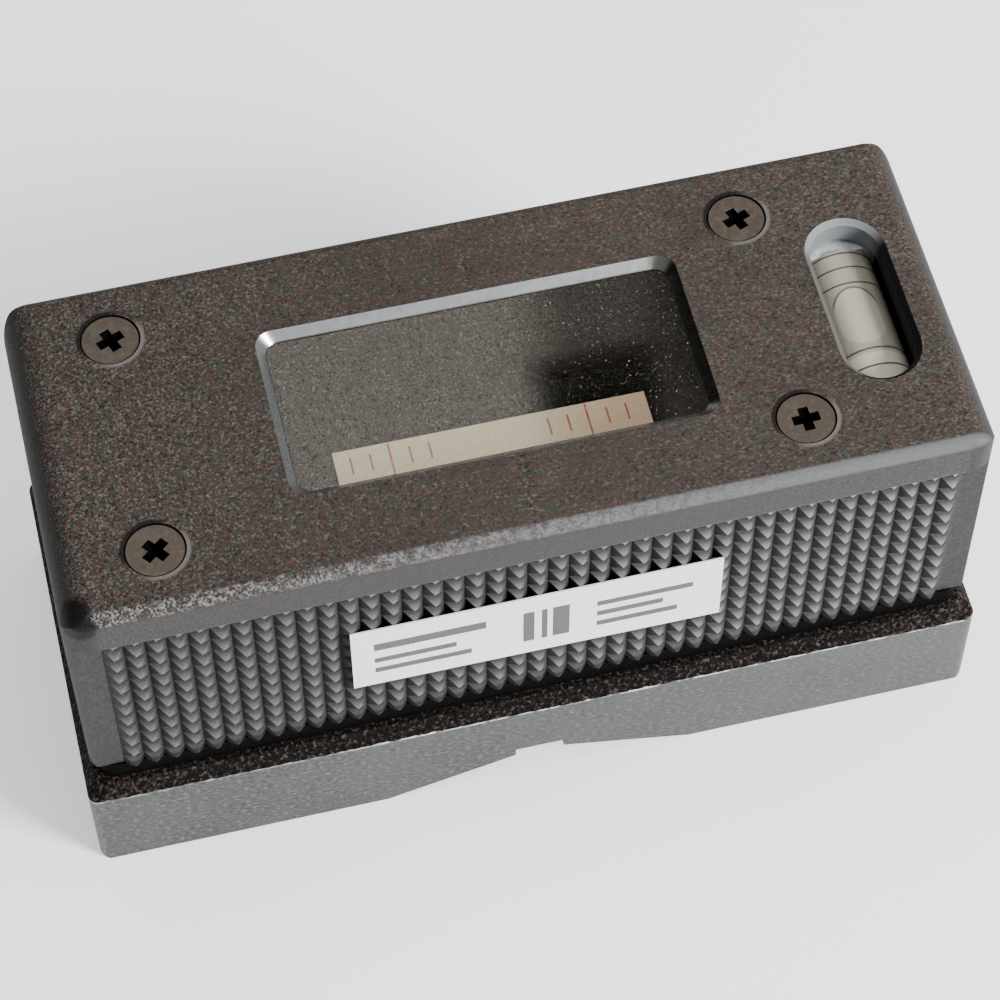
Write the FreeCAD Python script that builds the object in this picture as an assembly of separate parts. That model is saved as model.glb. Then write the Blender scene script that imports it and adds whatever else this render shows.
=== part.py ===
import FreeCAD, Part
import math
import os
from FreeCAD import Vector

# Crankpin level: an iron body with a V sole under a moulded grip cover.
# Millimetres. X runs along the level, Y across it and Z up.
# The origin is the centre of the sole, in the plane that it stands on.

# Iron body below the cover
base_length = 100.0
base_width = 42.5
base_corner = 1.2
flank_height = 13.2
bevel_height = 1.9
bevel_corner = 2.6
bevel_tuck = 0.2
neck_height = 2.7
neck_inset = 0.85
neck_corner = 1.9
sole_chamfer = 0.8

# V sole: two flanks that rise towards a relief groove across the middle
vee_angle = 15.0
vee_half_width = 17.5
relief_width = 5.5
relief_depth = 1.2

# Grip cover
cover_length = 98.0
cover_width = 41.0
cover_height = 30.7
cover_corner = 3.0
cover_edge = 1.3
cover_end_round = 3.5
cover_wall = 2.8
cover_roof = 3.0
cover_inner_corner = 2.0

# Drafted iron block inside the cover
block_gap = 0.3
block_draft = 1.0
block_corner = 2.5

# Cover screws, countersunk with a cross recess
screw_side_inset = 7.2
screw_left_inset = 10.9
screw_right_inset = 19.1
screw_thread = 3.0
screw_length = 10.0
screw_head = 6.0
screw_head_rim = 0.3
screw_sink = 0.15
screw_gap = 0.2
thread_gap = 0.02
boss_radius = 3.8
recess_span = 3.1
recess_width = 1.1
recess_depth = 1.3
recess_foot = 1.2
screw_turns = {
    "back_left": 22.0,
    "front_left": 40.0,
    "back_right": 20.0,
    "front_right": 2.0,
}

# Window and its pane
window_x = -0.8
window_length = 45.5
window_width = 21.0
window_corner = 2.0
window_bevel = 1.0
pane_lap = 1.2
pane_gap = 0.1
pane_thickness = 1.8

# Grip panels: rows of four-sided points, on a ground that is sunk below the cover's faces from end to end
knurl_columns = 41
knurl_rows = 12
knurl_end_margin = 3.5925
knurl_pitch_z = 2.24
knurl_depth = 1.1
knurl_top_drop = 5.15
knurl_first_row = 0.56
knurl_peak_inset = 0.05

# Pocket for the main vial
pocket_end_gap = 1.0
pocket_width = 26.0
pocket_floor = 23.5
pocket_corner = 3.0
pad_radius = 4.5

# Cradle of the main vial, a folded channel with a tab at each end
cradle_x = window_x - 0.4
cradle_sheet = 1.5
cradle_length = 48.0
cradle_front = 9.6
cradle_back = 10.0
cradle_floor = 27.0
cradle_back_wall = 9.0
cradle_ledge = 6.7
tab_reach = 8.0
tab_width = 9.0
tab_hole_inset = 3.8

# Main vial
vial_length = 46.0
vial_radius = 5.5
vial_wall = 1.1
vial_shoulder = 2.0
vial_y = 2.6
vial_clear = 1.5
bubble_length = 20.4
bubble_depth = 1.1
cement_length = 7.0
cement_front = 7.2

# Scale plate over the front of the vial
scale_length = 33.6
scale_width = 6.0
scale_thickness = 0.6
scale_overhang = 0.3

# Cradle fastenings
stud_thread = 3.0
clamp_screw_grip = 9.0
clamp_head = 5.5
clamp_head_height = 2.0
clamp_slot_width = 0.8
clamp_slot_depth = 0.9
washer_radius = 3.4
washer_thickness = 0.8
stud_depth = 8.0
stud_rise = 2.0
nut_across_flats = 5.5
nut_height = 2.4
nut_gap = 0.4

# Cross vial
slot_end_inset = 9.0
slot_length = 21.4
slot_width = 8.8
slot_bevel = 0.6
cross_radius = 4.2
cross_length = 17.4
cross_bore = 3.2
cross_end_wall = 1.5
cross_plug = 2.0
cross_top_gap = 0.1
cross_cement = 0.2
cross_cement_drop = 0.6
cross_end_cement = 2.0
cross_cement_gap = 0.6
cross_bubble_length = 7.4
cross_bubble_depth = 0.9

# Label, laid flat on the points of the front grip panel
label_x = -0.2
label_length = 40.0
label_height = 11.1
label_thickness = 0.15
label_above_foot = 13.0

# Places worked out from the sizes above
bevel_top = flank_height + bevel_height
foot_z = bevel_top + neck_height
top_z = foot_z + cover_height
roof_z = top_z - cover_roof
vee_rise = (vee_half_width - relief_width / 2) * math.tan(math.radians(vee_angle))
cavity_length = cover_length - 2 * cover_wall
cavity_width = cover_width - 2 * cover_wall
screw_span_y = cover_width - 2 * screw_side_inset
screw_left_x = -cover_length / 2 + screw_left_inset
screw_right_x = cover_length / 2 - screw_right_inset
slot_x = cover_length / 2 - slot_end_inset
knurl_pitch_x = (cover_length - 2 * knurl_end_margin) / knurl_columns
pocket_length = cradle_length + 2 * tab_reach + 2 * pocket_end_gap
tapped_radius = screw_thread / 2
pad_x = cradle_length / 2 + tab_reach - tab_hole_inset
stud_x = cradle_x + pad_x
clamp_x = cradle_x - pad_x
tab_top = cradle_floor + cradle_sheet
stud_pad_top = cradle_floor - nut_height - nut_gap
vial_z = tab_top + vial_radius + vial_clear
ledge_top = vial_z + vial_radius + vial_clear
cross_z = roof_z - cross_top_gap - cross_radius
cross_bed_length = cross_length + 2 * cross_end_cement


def rounded_wire(length, width, radius, z, x=0.0, y=0.0):
    """A rectangle with round corners, lying flat at height z."""
    a = length / 2
    b = width / 2
    k = radius * (1 - math.sqrt(0.5))
    edges = []
    for sx, sy in ((1, 1), (-1, 1), (-1, -1), (1, -1)):
        along_y = Vector(x + sx * a, y + sy * (b - radius), z)
        along_x = Vector(x + sx * (a - radius), y + sy * b, z)
        middle = Vector(x + sx * (a - k), y + sy * (b - k), z)
        if sx == sy:
            corner = Part.Arc(along_y, middle, along_x).toShape()
            start, end = along_y, along_x
        else:
            corner = Part.Arc(along_x, middle, along_y).toShape()
            start, end = along_x, along_y
        edges.append((start, corner, end))
    wire = []
    for n, (start, corner, end) in enumerate(edges):
        following = edges[(n + 1) % 4][0]
        wire.append(corner)
        wire.append(Part.makeLine(end, following))
    return Part.Wire(wire)


def rounded_prism(length, width, radius, z, height, x=0.0, y=0.0):
    """A block with round upright corners."""
    return Part.Face(rounded_wire(length, width, radius, z, x, y)).extrude(Vector(0, 0, height))


def flared_prism(low, high, z_low, z_high, x=0.0, y=0.0):
    """A block whose rounded outline changes from low to high; each is (length, width, radius)."""
    wires = [rounded_wire(*low, z_low, x, y), rounded_wire(*high, z_high, x, y)]
    return Part.makeLoft(wires, True, True)


def stadium_prism(length, width, z, height, x=0.0, y=0.0, along_y=False):
    """A slot shape: straight sides and round ends."""
    r = width / 2
    s = length / 2 - r
    ends = [Part.Arc(Vector(s, -r, z), Vector(s + r, 0, z), Vector(s, r, z)).toShape(),
            Part.makeLine(Vector(s, r, z), Vector(-s, r, z)),
            Part.Arc(Vector(-s, r, z), Vector(-s - r, 0, z), Vector(-s, -r, z)).toShape(),
            Part.makeLine(Vector(-s, -r, z), Vector(s, -r, z))]
    solid = Part.Face(Part.Wire(ends)).extrude(Vector(0, 0, height))
    if along_y:
        solid.rotate(Vector(0, 0, 0), Vector(0, 0, 1), 90)
    solid.translate(Vector(x, y, 0))
    return solid


def upright(radius, z, height, x=0.0, y=0.0):
    """A cylinder that stands at x, y."""
    return Part.makeCylinder(radius, height, Vector(x, y, z), Vector(0, 0, 1))


def turned(points, x=0.0, y=0.0):
    """A solid of revolution about an upright axis at x, y from (radius, z) points."""
    outline = [Vector(r, 0, z) for r, z in points]
    solid = Part.Face(Part.makePolygon(outline + outline[:1])).revolve(Vector(0, 0, 0), Vector(0, 0, 1), 360)
    solid.translate(Vector(x, y, 0))
    return solid


def extruded_section(points, start, length):
    """A section of (y, z) points, drawn along X from start."""
    outline = [Vector(start, y, z) for y, z in points]
    return Part.Face(Part.makePolygon(outline + outline[:1])).extrude(Vector(length, 0, 0))


def screw_places():
    """Name and centre of each cover screw."""
    places = {}
    for end, x in (("left", screw_left_x), ("right", screw_right_x)):
        for side, sign in (("back", 1), ("front", -1)):
            places[side + "_" + end] = (x, sign * screw_span_y / 2)
    return places


# Iron body


def sole_block():
    """The machined part of the body: flat ends, V flanks and the relief groove, seen from the front."""
    half = base_length / 2
    groove = relief_width / 2
    outline = [
        (-half + sole_chamfer, 0),
        (-vee_half_width, 0),
        (-groove, vee_rise),
        (-groove, vee_rise + relief_depth),
        (groove, vee_rise + relief_depth),
        (groove, vee_rise),
        (vee_half_width, 0),
        (half - sole_chamfer, 0),
        (half, sole_chamfer),
        (half, flank_height),
        (-half, flank_height),
        (-half, sole_chamfer),
    ]
    points = [Vector(x, -base_width / 2, z) for x, z in outline]
    block = Part.Face(Part.makePolygon(points + points[:1])).extrude(Vector(0, base_width, 0))
    plan = rounded_prism(base_length, base_width, base_corner, 0, flank_height)
    return block.common(plan)


def painted_bevel():
    """The rough bevel above the machined flanks, and the neck that the cover overhangs."""
    low = (base_length, base_width, base_corner)
    high = (cover_length - 2 * bevel_tuck, cover_width - 2 * bevel_tuck, bevel_corner)
    neck = rounded_prism(cover_length - 2 * neck_inset, cover_width - 2 * neck_inset, neck_corner,
                         bevel_top, neck_height)
    return flared_prism(low, high, flank_height, bevel_top).fuse(neck)


def drafted_block():
    """The upper block, which fills the cover and narrows towards the top."""
    lean = (roof_z - foot_z) * math.tan(math.radians(block_draft))
    length = cavity_length - 2 * block_gap
    width = cavity_width - 2 * block_gap
    low = (length, width, block_corner)
    high = (length - 2 * lean, width - 2 * lean, block_corner)
    return flared_prism(low, high, foot_z, roof_z)


def vial_pocket():
    """The pocket of the main vial, less the corner bosses and the two pads left standing in it."""
    pocket = rounded_prism(pocket_length, pocket_width, pocket_corner, pocket_floor,
                           roof_z - pocket_floor, window_x)
    for x, y in screw_places().values():
        pocket = pocket.cut(upright(boss_radius, pocket_floor, roof_z - pocket_floor, x, y))
    pocket = pocket.cut(upright(pad_radius, pocket_floor, cradle_floor - pocket_floor, clamp_x))
    return pocket.cut(upright(pad_radius, pocket_floor, stud_pad_top - pocket_floor, stud_x))


def cross_vial_bed(top):
    """The round-bottomed trough of the cross vial, filled up to this height."""
    radius = cross_radius + cross_cement
    start = -cross_bed_length / 2
    bed = Part.makeCylinder(radius, cross_bed_length, Vector(slot_x, start, cross_z), Vector(0, 1, 0))
    mouth = Part.makeBox(2 * radius, cross_bed_length, radius, Vector(slot_x - radius, start, cross_z))
    over = Part.makeBox(2 * radius, cross_bed_length, 2 * radius, Vector(slot_x - radius, start, top))
    return bed.fuse(mouth).cut(over)


def base_casting():
    """Sole, bevel and block in one iron casting, with its pocket, bed and tapped holes."""
    body = sole_block().fuse([painted_bevel(), drafted_block()]).removeSplitter()
    cuts = [vial_pocket(), cross_vial_bed(roof_z)]
    screw_reach = screw_length + 1.0
    for x, y in screw_places().values():
        cuts.append(upright(tapped_radius, top_z - screw_sink - screw_reach, screw_reach, x, y))
    clamp_bottom = tab_top + washer_thickness - clamp_screw_grip - 1.0
    cuts.append(upright(stud_thread / 2, clamp_bottom, cradle_floor - clamp_bottom, clamp_x))
    cuts.append(upright(stud_thread / 2, stud_pad_top - stud_depth, stud_depth, stud_x))
    return body.cut(cuts)


# Grip cover


def end_rounds():
    """A block as long and high as the cover, whose two upper end edges are rounded."""
    block = Part.makeBox(cover_length, 2 * cover_width, cover_height, Vector(-cover_length / 2, -cover_width, foot_z))
    ends = [e for e in block.Edges
            if e.BoundBox.ZMin > top_z - 0.01
            and e.BoundBox.YLength > cover_width]
    return block.makeFillet(cover_end_round, ends)


def cover_shell():
    """The outside with its rounded top edge, rounder at both ends, and the cavity."""
    body = rounded_prism(cover_length, cover_width, cover_corner, foot_z, cover_height)
    rim = [e for e in body.Edges if e.BoundBox.ZMin > top_z - 0.01]
    body = body.makeFillet(cover_edge, rim).common(end_rounds())
    cavity = rounded_prism(cavity_length, cavity_width, cover_inner_corner, foot_z, roof_z - foot_z)
    return body.cut(cavity)


def window_cut():
    """The window: a bevel all round, then the rebate that takes the pane from below."""
    inner = (window_length - 2 * window_bevel, window_width - 2 * window_bevel, window_corner - window_bevel / 2)
    outer = (window_length, window_width, window_corner)
    bevel = flared_prism(inner, outer, top_z - window_bevel, top_z, window_x)
    rebate = rounded_prism(inner[0] + 2 * pane_lap, inner[1] + 2 * pane_lap, window_corner, roof_z,
                           pane_thickness + pane_gap, window_x)
    through = rounded_prism(*inner, roof_z, top_z - window_bevel - roof_z, window_x)
    return bevel.fuse([rebate, through])


def slot_cut():
    """The slot over the cross vial, with its bevelled mouth."""
    inner_length = slot_length - 2 * slot_bevel
    inner_width = slot_width - 2 * slot_bevel
    through = stadium_prism(inner_length, inner_width, roof_z, cover_roof, slot_x, 0, along_y=True)
    straight = inner_length - inner_width
    flare = []
    for sign in (1, -1):
        end = Vector(slot_x, sign * straight / 2, top_z - slot_bevel)
        flare.append(Part.makeCone(inner_width / 2, slot_width / 2, slot_bevel, end))
    section = [Vector(slot_x - inner_width / 2, -straight / 2, top_z - slot_bevel),
               Vector(slot_x + inner_width / 2, -straight / 2, top_z - slot_bevel),
               Vector(slot_x + slot_width / 2, -straight / 2, top_z),
               Vector(slot_x - slot_width / 2, -straight / 2, top_z)]
    flare.append(Part.Face(Part.makePolygon(section + section[:1])).extrude(Vector(0, straight, 0)))
    return through.fuse(flare)


def screw_cut(x, y):
    """A clearance hole with its countersink and the short straight rim above it."""
    hole = tapped_radius + screw_gap
    rim = screw_head / 2 + screw_gap
    rim_z = top_z - screw_sink - screw_head_rim
    return turned([(0, roof_z), (hole, roof_z), (hole, rim_z - (rim - hole)), (rim, rim_z), (rim, top_z), (0, top_z)],
                  x, y)


def knurl_cutter(side):
    """What is taken out of one long face below its rim, so that rows of four-sided points stay standing."""
    face_y = side * cover_width / 2
    root_y = face_y - side * knurl_depth
    peak_y = face_y - side * knurl_peak_inset
    open_y = face_y + side
    end_x = cover_length / 2 + 1
    left = -knurl_columns * knurl_pitch_x / 2
    rim_z = top_z - knurl_top_drop
    top = rim_z - knurl_first_row + knurl_pitch_z / 2
    xs = [left + n * knurl_pitch_x for n in range(knurl_columns + 1)]
    zs = [top - n * knurl_pitch_z for n in range(knurl_rows + 1)]
    faces = []
    for x0, x1 in zip(xs, xs[1:]):
        for z0, z1 in zip(zs, zs[1:]):
            peak = Vector((x0 + x1) / 2, peak_y, (z0 + z1) / 2)
            ring = [Vector(x0, root_y, z0), Vector(x1, root_y, z0), Vector(x1, root_y, z1), Vector(x0, root_y, z1)]
            for a, b in zip(ring, ring[1:] + ring[:1]):
                faces.append(Part.Face(Part.makePolygon([a, b, peak, a])))
    for z in (zs[0], zs[-1]):
        edge = [Vector(x, root_y, z) for x in xs] + [Vector(end_x, root_y, z)]
        edge += [Vector(end_x, open_y, z), Vector(-end_x, open_y, z), Vector(-end_x, root_y, z)]
        faces.append(Part.Face(Part.makePolygon(edge + edge[:1])))
    for x, far in ((xs[0], -end_x), (xs[-1], end_x)):
        ground = [Vector(x, root_y, z) for z in zs] + [Vector(far, root_y, zs[-1]), Vector(far, root_y, zs[0])]
        faces.append(Part.Face(Part.makePolygon(ground + ground[:1])))
        close = [Vector(far, y, z) for y, z in ((root_y, zs[0]), (open_y, zs[0]), (open_y, zs[-1]), (root_y, zs[-1]))]
        faces.append(Part.Face(Part.makePolygon(close + close[:1])))
    cap = [Vector(x, open_y, z) for x, z in ((-end_x, zs[0]), (end_x, zs[0]), (end_x, zs[-1]), (-end_x, zs[-1]))]
    faces.append(Part.Face(Part.makePolygon(cap + cap[:1])))
    shell = Part.makeShell(faces)
    shell.sewShape()
    cutter = Part.makeSolid(shell)
    if cutter.Volume < 0:
        cutter.reverse()
    above_rim = Part.makeBox(2 * cover_length, 2 * cover_width, cover_height, Vector(-cover_length, -cover_width, rim_z))
    return cutter.cut(above_rim)


def grip_cover():
    """The whole cover: shell, window, slot, screw holes and both grip panels."""
    cuts = [window_cut(), slot_cut()]
    for x, y in screw_places().values():
        cuts.append(screw_cut(x, y))
    cover = cover_shell().cut(cuts)
    for side in (-1, 1):
        cover = cover.cut(knurl_cutter(side))
    return cover


def window_pane():
    """Clear pane, pushed up into the rebate of the cover."""
    length = window_length - 2 * window_bevel + 2 * pane_lap - 2 * pane_gap
    width = window_width - 2 * window_bevel + 2 * pane_lap - 2 * pane_gap
    top = roof_z + pane_thickness + pane_gap
    return rounded_prism(length, width, window_corner - pane_gap, top - pane_thickness, pane_thickness, window_x)


def cross_recess(x, y, turn):
    """The cross-shaped recess of a screw head: two tapered blades."""
    top = top_z - screw_sink
    outline = [(-recess_span / 2, top + 0.1), (recess_span / 2, top + 0.1), (recess_foot / 2, top - recess_depth),
               (-recess_foot / 2, top - recess_depth)]
    points = [Vector(u, -recess_width / 2, z) for u, z in outline]
    blade = Part.Face(Part.makePolygon(points + points[:1])).extrude(Vector(0, recess_width, 0))
    other = blade.copy()
    other.rotate(Vector(0, 0, 0), Vector(0, 0, 1), 90)
    cross = blade.fuse(other)
    cross.rotate(Vector(0, 0, 0), Vector(0, 0, 1), turn)
    cross.translate(Vector(x, y, 0))
    return cross


def cover_screw(x, y, turn):
    """Countersunk screw: flat head, cone, and a plain shank for the thread."""
    head = screw_head / 2
    shank = screw_thread / 2 - thread_gap
    top = top_z - screw_sink
    cone_top = top - screw_head_rim
    tip = top - screw_length
    outline = [(0, top), (head, top), (head, cone_top), (shank, cone_top - (head - shank)),
               (shank, tip), (0, tip)]
    return turned(outline, x, y).cut(cross_recess(x, y, turn))


# Main vial and its cradle


def vial_cradle():
    """A folded channel: floor with end tabs, low back wall, and a front wall with the ledge for the scale."""
    t = cradle_sheet
    front = -cradle_front
    section = [
        (front, cradle_floor),
        (cradle_back, cradle_floor),
        (cradle_back, cradle_floor + cradle_back_wall),
        (cradle_back - t, cradle_floor + cradle_back_wall),
        (cradle_back - t, tab_top),
        (front + t, tab_top),
        (front + t, ledge_top - t),
        (front + cradle_ledge, ledge_top - t),
        (front + cradle_ledge, ledge_top),
        (front, ledge_top),
    ]
    channel = extruded_section(section, cradle_x - cradle_length / 2, cradle_length)
    bends = [e for e in channel.Edges
             if e.BoundBox.XLength > cradle_length - 0.1
             and e.BoundBox.YMin < front + 0.01
             and e.BoundBox.YMax < front + 0.01]
    channel = channel.makeFillet(t / 2, bends)
    strap = rounded_prism(cradle_length + 2 * tab_reach, tab_width, tab_width / 3, cradle_floor, t, cradle_x)
    cradle = channel.fuse(strap).removeSplitter()
    hole = stud_thread / 2 + screw_gap
    holes = [upright(hole, cradle_floor, t, clamp_x), upright(hole, cradle_floor, t, stud_x)]
    return cradle.cut(holes)


def vial_outline(radius, half, shoulder):
    """A vial along X, with flat ends and sloped shoulders."""
    corners = [(-half, 0), (-half, radius - shoulder), (-half + shoulder, radius), (half - shoulder, radius),
               (half, radius - shoulder), (half, 0), (-half, 0)]
    wire = Part.makePolygon([Vector(x, y, 0) for x, y in corners])
    solid = Part.Face(wire).revolve(Vector(0, 0, 0), Vector(1, 0, 0), 360)
    solid.translate(Vector(cradle_x, vial_y, vial_z))
    return solid


def main_vial_bore():
    """The ground inside of the main vial."""
    return vial_outline(vial_radius - vial_wall, vial_length / 2 - vial_wall, vial_shoulder - vial_wall / 2)


def main_vial_tube():
    """Sealed glass tube."""
    return vial_outline(vial_radius, vial_length / 2, vial_shoulder).cut(main_vial_bore())


def main_vial_liquid():
    """Liquid that fills the tube up to its bubble."""
    bore = vial_radius - vial_wall
    level = vial_z + bore - bubble_depth
    width = 2 * math.sqrt(bore ** 2 - (bore - bubble_depth) ** 2)
    bubble = stadium_prism(bubble_length, width, level, bubble_depth + 1, cradle_x, vial_y)
    return main_vial_bore().cut(bubble)


def main_vial_cement(end):
    """One of the two beds that hold the tube in the cradle."""
    outer = vial_length / 2 - vial_shoulder
    start = cradle_x + (outer - cement_length if end > 0 else -outer)
    back = cradle_back - cradle_sheet
    section = [(vial_y - cement_front, tab_top), (back, tab_top), (back, vial_z),
               (vial_y - vial_radius - 0.6, vial_z)]
    bed = extruded_section(section, start, cement_length)
    return bed.cut(vial_outline(vial_radius, vial_length / 2, vial_shoulder))


def scale_plate():
    """Strip that carries the graduations, bonded on the ledge of the cradle."""
    back = -cradle_front + cradle_ledge + scale_overhang
    corner = Vector(cradle_x - scale_length / 2, back - scale_width, ledge_top)
    return Part.makeBox(scale_length, scale_width, scale_thickness, corner)


def cradle_washer():
    """Plain washer under the head of the clamp screw."""
    washer = upright(washer_radius, tab_top, washer_thickness, clamp_x)
    return washer.cut(upright(stud_thread / 2 + screw_gap, tab_top, washer_thickness, clamp_x))


def cradle_clamp_screw():
    """Slotted cheese-head screw that holds the left tab on its pad."""
    seat = tab_top + washer_thickness
    shank = stud_thread / 2 - thread_gap
    head = clamp_head / 2
    outline = [(0, seat - clamp_screw_grip), (shank, seat - clamp_screw_grip), (shank, seat), (head, seat),
               (head, seat + clamp_head_height), (0, seat + clamp_head_height)]
    slot = Part.makeBox(clamp_head, clamp_slot_width, clamp_slot_depth,
                        Vector(clamp_x - clamp_head / 2, -clamp_slot_width / 2,
                               seat + clamp_head_height - clamp_slot_depth))
    return turned(outline, clamp_x).cut(slot)


def adjusting_stud():
    """Stud in the right pad; the cradle's tab is clamped on it between two nuts."""
    bottom = stud_pad_top - stud_depth + 0.5
    top = tab_top + nut_height + stud_rise
    return upright(stud_thread / 2 - thread_gap, bottom, top - bottom, stud_x)


def adjusting_nut(z):
    """Hexagon nut on the stud."""
    corner = nut_across_flats / 2 / math.cos(math.radians(30))
    points = [Vector(corner * math.cos(math.radians(60 * n)), corner * math.sin(math.radians(60 * n)), z)
              for n in range(6)]
    nut = Part.Face(Part.makePolygon(points + points[:1])).extrude(Vector(0, 0, nut_height))
    nut = nut.cut(upright(stud_thread / 2, z, nut_height))
    nut.translate(Vector(stud_x, 0, 0))
    return nut


# Cross vial


def cross_bar(radius, start, end):
    """A round bar along Y on the axis of the cross vial."""
    return Part.makeCylinder(radius, end - start, Vector(slot_x, start, cross_z), Vector(0, 1, 0))


def cross_vial_tube():
    """Tube of the cross vial: closed at the back, bored from the front."""
    half = cross_length / 2
    return cross_bar(cross_radius, -half, half).cut(cross_bar(cross_bore, -half, half - cross_end_wall))


def cross_vial_plug():
    """Plug that closes the front of the tube."""
    return cross_bar(cross_bore, -cross_length / 2, -cross_length / 2 + cross_plug)


def cross_vial_liquid():
    """Liquid between the plug and the closed end, up to its bubble."""
    half = cross_length / 2
    liquid = cross_bar(cross_bore, -half + cross_plug, half - cross_end_wall)
    level = cross_z + cross_bore - cross_bubble_depth
    width = 2 * math.sqrt(cross_bore ** 2 - (cross_bore - cross_bubble_depth) ** 2)
    bubble = stadium_prism(cross_bubble_length, width, level, cross_bubble_depth + 1, slot_x, 0, along_y=True)
    return liquid.cut(bubble)


def cross_vial_cement():
    """Cement that fills the trough under the cross vial and beyond both of its ends."""
    half = cross_length / 2
    radius = cross_radius + cross_cement
    corner = Vector(slot_x - radius, -half, cross_z - cross_cement_drop)
    over_vial = Part.makeBox(2 * radius, cross_length, 2 * radius, corner)
    return cross_vial_bed(roof_z - cross_cement_gap).cut([cross_bar(cross_radius, -half, half), over_vial])


def label():
    """Thin label, laid on the points of the front grip panel."""
    back = -cover_width / 2 + knurl_peak_inset
    corner = Vector(label_x - label_length / 2, back - label_thickness, foot_z + label_above_foot - label_height / 2)
    return Part.makeBox(label_length, label_thickness, label_height, corner)


def pieces():
    """Every piece of the level by its name."""
    made = {
        "base_casting": base_casting(),
        "grip_cover": grip_cover(),
        "window_pane": window_pane(),
        "scale_plate": scale_plate(),
        "vial_cradle": vial_cradle(),
        "main_vial_tube": main_vial_tube(),
        "main_vial_liquid": main_vial_liquid(),
        "main_vial_cement_left": main_vial_cement(-1),
        "main_vial_cement_right": main_vial_cement(1),
        "cradle_washer": cradle_washer(),
        "cradle_clamp_screw": cradle_clamp_screw(),
        "adjusting_stud": adjusting_stud(),
        "adjusting_nut_lower": adjusting_nut(cradle_floor - nut_height),
        "adjusting_nut_upper": adjusting_nut(tab_top),
        "cross_vial_tube": cross_vial_tube(),
        "cross_vial_plug": cross_vial_plug(),
        "cross_vial_liquid": cross_vial_liquid(),
        "cross_vial_cement": cross_vial_cement(),
        "label": label(),
    }
    for place, (x, y) in screw_places().items():
        made["cover_screw_" + place] = cover_screw(x, y, screw_turns[place])
    return made


os.makedirs("parts", exist_ok=True)
for name, shape in pieces().items():
    shape.exportStep("parts/" + name + ".step")
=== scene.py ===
import math

import bmesh
import bpy
from bpy.props import FloatProperty, FloatVectorProperty, IntProperty, PointerProperty
from mathutils import Matrix, Vector


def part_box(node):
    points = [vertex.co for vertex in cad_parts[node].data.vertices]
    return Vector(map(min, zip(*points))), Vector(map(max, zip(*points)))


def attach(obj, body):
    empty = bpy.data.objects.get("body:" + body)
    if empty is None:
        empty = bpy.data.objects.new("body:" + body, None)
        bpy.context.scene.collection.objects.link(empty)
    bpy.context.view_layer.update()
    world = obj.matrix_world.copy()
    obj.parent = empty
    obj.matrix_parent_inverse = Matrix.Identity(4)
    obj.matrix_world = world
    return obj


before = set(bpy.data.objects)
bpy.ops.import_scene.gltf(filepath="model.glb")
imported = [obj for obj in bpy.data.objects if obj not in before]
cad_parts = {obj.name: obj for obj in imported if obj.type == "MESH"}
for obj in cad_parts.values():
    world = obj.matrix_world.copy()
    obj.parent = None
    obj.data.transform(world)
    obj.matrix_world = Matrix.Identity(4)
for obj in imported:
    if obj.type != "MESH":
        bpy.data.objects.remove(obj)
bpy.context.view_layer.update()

bl_info = {
    "name": "Crankpin level dressing",
    "version": (1, 0, 0),
    "blender": (4, 5, 0),
    "location": "3D Viewport > Sidebar > Level",
    "description": "Finishes, printed marks, camera and soft light for a crankpin level",
    "category": "Object",
}

MM = 0.001

# Places read from the frame
COVER_LOW, COVER_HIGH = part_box("grip_cover")
BASE_LOW, BASE_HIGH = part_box("base_casting")
PANE_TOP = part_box("window_pane")[1].z
SCALE_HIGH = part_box("scale_plate")[1]
LABEL_LOW, LABEL_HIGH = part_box("label")
CROSS_LOW, CROSS_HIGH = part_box("cross_vial_tube")
FOOT_Z = COVER_LOW.z
TOP_Z = COVER_HIGH.z
SCREW_NODES = sorted(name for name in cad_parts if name.startswith("cover_screw_"))

# The darkest tone (dark paint grains, and also painted shade and a painted dark reflection), the rings along
# the cross vial, and depths below the top or above a printed face
NEAR_BLACK = (0.002, 0.0018, 0.0018)
RING_PLACES = (8.3 * MM, 6.4 * MM, 4.3 * MM, -4.4 * MM, -6.6 * MM)
BEVEL_DEPTH = 1.02 * MM
WALL_DEPTH = 3.1 * MM
PANEL_DROP = 5.0 * MM
INK_STEP = 0.02 * MM


def centre(node):
    """Middle of a CAD node's box."""
    low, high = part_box(node)
    return (low + high) / 2


def length(name, description, default):
    """A size in metres that the sidebar shows as a length."""
    return FloatProperty(name=name, description=description, default=default, unit="LENGTH",
                         subtype="DISTANCE", precision=5)


def colour(name, description, default):
    """A colour that the sidebar shows as a swatch."""
    return FloatVectorProperty(name=name, description=description, default=default, subtype="COLOR", size=3,
                               min=0.0, max=1.0)


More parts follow.
